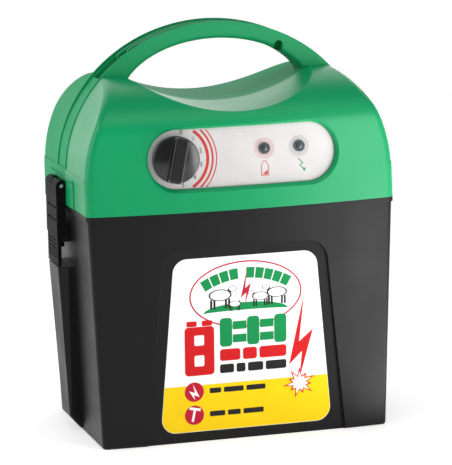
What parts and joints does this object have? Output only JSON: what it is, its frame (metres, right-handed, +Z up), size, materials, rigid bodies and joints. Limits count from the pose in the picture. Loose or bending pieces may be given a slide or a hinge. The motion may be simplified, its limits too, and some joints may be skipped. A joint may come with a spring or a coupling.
{
  "type": "battery fence energizer",
  "caption": "Portable electric fence energizer: moulded lid with arched carry handle and control panel, snapped by two side latches onto a tapered battery case.",
  "frame": {"origin": "on the base plane, under the centre plane of the carry handle, midway between the sides", "axes": "+Z up, -Y towards the control panel, +X to the right of someone facing the panel"},
  "size_m": [0.2572, 0.1759, 0.3095],
  "materials": {
    "green_plastic": "semi-gloss moulded, fine texture",
    "black_plastic": "satin moulded, fine grain",
    "knob_black": "satin",
    "panel_white": "printed film, satin",
    "label_print": "printed film, gloss",
    "seal_rubber": "matt",
    "steel": "bright zinc plated",
    "brass": "turned",
    "battery_jacket": "printed wrapper",
    "switch_grey": "moulded",
    "lens_red": "clear tinted",
    "lens_green": "clear tinted",
    "bezel_grey": "satin",
    "board_green": "solder mask",
    "capacitor_blue": "shrink sleeve",
    "aluminium": "anodised",
    "laminated_iron": "varnished laminations",
    "winding": "enamelled wire",
    "fence_red": "moulded"
  },
  "bodies": {
    "case": {"battery_case": "black_plastic", "case_seal": "seal_rubber", "front_label": "label_print", "catch_tongue_left": "black_plastic", "catch_tongue_right": "black_plastic", "dry_battery": "battery_jacket", "battery_terminal_positive": "brass", "battery_terminal_negative": "brass"},
    "lid": {"lid_shell": "green_plastic", "carry_handle": "green_plastic", "control_panel": "panel_white", "rotary_switch": "switch_grey", "switch_nut": "steel", "battery_led": "lens_red", "pulse_led": "lens_green", "led_bezels": "bezel_grey", "front_board": "board_green", "latch_pin_left": "steel", "latch_pin_right": "steel", "electronics_tray": "black_plastic", "tray_screws": "steel", "main_board": "board_green", "board_screws": "steel", "storage_capacitors": "capacitor_blue", "heat_sink": "aluminium", "thyristor": "knob_black", "transformer_core": "laminated_iron", "transformer_coil": "winding", "fence_stud": "steel", "earth_stud": "steel", "terminal_collars": "black_plastic", "adapter_socket": "knob_black"},
    "knob": {"control_knob": "knob_black", "switch_shaft": "steel"},
    "left_latch": {"latch_left": "black_plastic"},
    "right_latch": {"latch_right": "black_plastic"},
    "fence_knob": {"fence_terminal_knob": "fence_red"},
    "earth_knob": {"earth_terminal_knob": "knob_black"}
  },
  "joints": [
    {"name": "lid_lift", "type": "slide", "parent": "case", "child": "lid", "axis": [0, 0, 1], "range_m": [0, 0.2], "deforming": ["catch_tongue_left", "catch_tongue_right"]},
    {"name": "control_knob_turn", "type": "hinge", "parent": "lid", "child": "knob", "pos_m": [-0.0517, -0.07798, 0.2164], "axis": [0.068, 0.9947, -0.0774], "range_deg": [0, 152]},
    {"name": "left_latch_swing", "type": "hinge", "parent": "lid", "child": "left_latch", "pos_m": [-0.1242, 0, 0.1915], "axis": [0, 1, 0], "range_deg": [0, 100]},
    {"name": "right_latch_swing", "type": "hinge", "parent": "lid", "child": "right_latch", "pos_m": [0.1242, 0, 0.1915], "axis": [0, -1, 0], "range_deg": [0, 100]},
    {"name": "fence_knob_turn", "type": "hinge", "parent": "lid", "child": "fence_knob", "pos_m": [0.042, 0.075, 0.208], "axis": [0, -1, 0], "range_deg": [0, 720]},
    {"name": "earth_knob_turn", "type": "hinge", "parent": "lid", "child": "earth_knob", "pos_m": [0.078, 0.075, 0.208], "axis": [0, -1, 0], "range_deg": [0, 720]}
  ]
}
